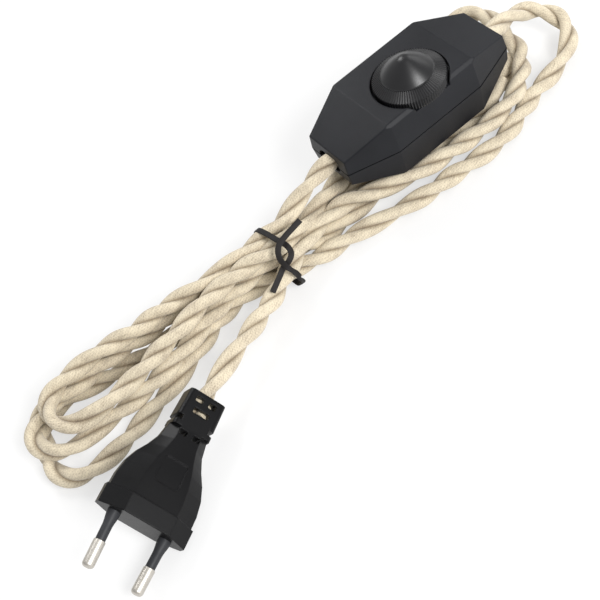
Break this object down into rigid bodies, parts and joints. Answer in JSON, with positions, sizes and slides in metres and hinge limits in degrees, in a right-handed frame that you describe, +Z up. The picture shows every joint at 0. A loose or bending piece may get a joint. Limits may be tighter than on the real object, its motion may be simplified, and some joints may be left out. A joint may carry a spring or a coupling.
{
  "type": "inline cord dimmer",
  "caption": "Faceted two-shell inline dimmer with a knurled dial, on a twisted textile cord that is tied in a hank, with a flat two-pin plug.",
  "frame": {"origin": "centre of the box round the housing and its dial, the cords, hank and plug left out", "axes": "+X along the housing towards the lamp cord, +Z up through the dial, the dial breaks through the -Y side"},
  "size_m": [0.2588, 0.1054, 0.0468],
  "materials": {
    "housing": "fine matte moulded texture",
    "dial": "satin cap, knurled rim",
    "shaft": "turned",
    "pot_case": "moulded",
    "board": "solder-masked laminate",
    "capacitor": "moulded box",
    "semiconductor": "moulded, with metal tab",
    "ferrite": "coated ring core",
    "copper_wire": "enamelled copper",
    "fuse_glass": "clear tube",
    "clips": "plated spring",
    "resistor": "lacquered",
    "diac_glass": "glass case",
    "terminals": "moulded",
    "screws": "zinc plated",
    "wire_insulation": "insulated conductor",
    "clamp_plastic": "moulded",
    "plug_plastic": "satin moulded rubber-like plastic",
    "pins": "nickel plated brass",
    "sleeves": "moulded insulation",
    "cord_braid": "cotton braid",
    "tie": "flat paper-and-wire twist tie"
  },
  "bodies": {
    "housing": {"upper_shell": "housing", "lower_shell": "housing", "casing_screws": "screws", "potentiometer_body": "pot_case", "circuit_board": "board", "film_capacitor": "capacitor", "triac": "semiconductor", "choke_core": "ferrite", "choke_winding": "copper_wire", "fuse": "fuse_glass", "fuse_clips": "clips", "resistors": "resistor", "diac": "diac_glass", "terminal_block_mains": "terminals", "terminal_block_lamp": "terminals", "terminal_screws": "screws", "mains_conductors": "wire_insulation", "lamp_conductors": "wire_insulation", "cord_clamp_mains": "clamp_plastic", "cord_clamp_lamp": "clamp_plastic", "clamp_screws": "screws", "plug_body": "plug_plastic", "plug_pin_1": "pins", "plug_pin_2": "pins", "pin_sleeve_1": "sleeves", "pin_sleeve_2": "sleeves", "plug_lead": "cord_braid", "mains_lead": "cord_braid", "lamp_lead": "cord_braid", "cord_hank": "cord_braid", "twist_tie": "tie"},
    "dial": {"dial_knob": "dial", "potentiometer_shaft": "shaft"}
  },
  "joints": [
    {"name": "dial_turn", "type": "hinge", "parent": "housing", "child": "dial", "pos_m": [0, -0.0044, 0], "axis": [0, 0, 1], "range_deg": [-280, 0]}
  ]
}
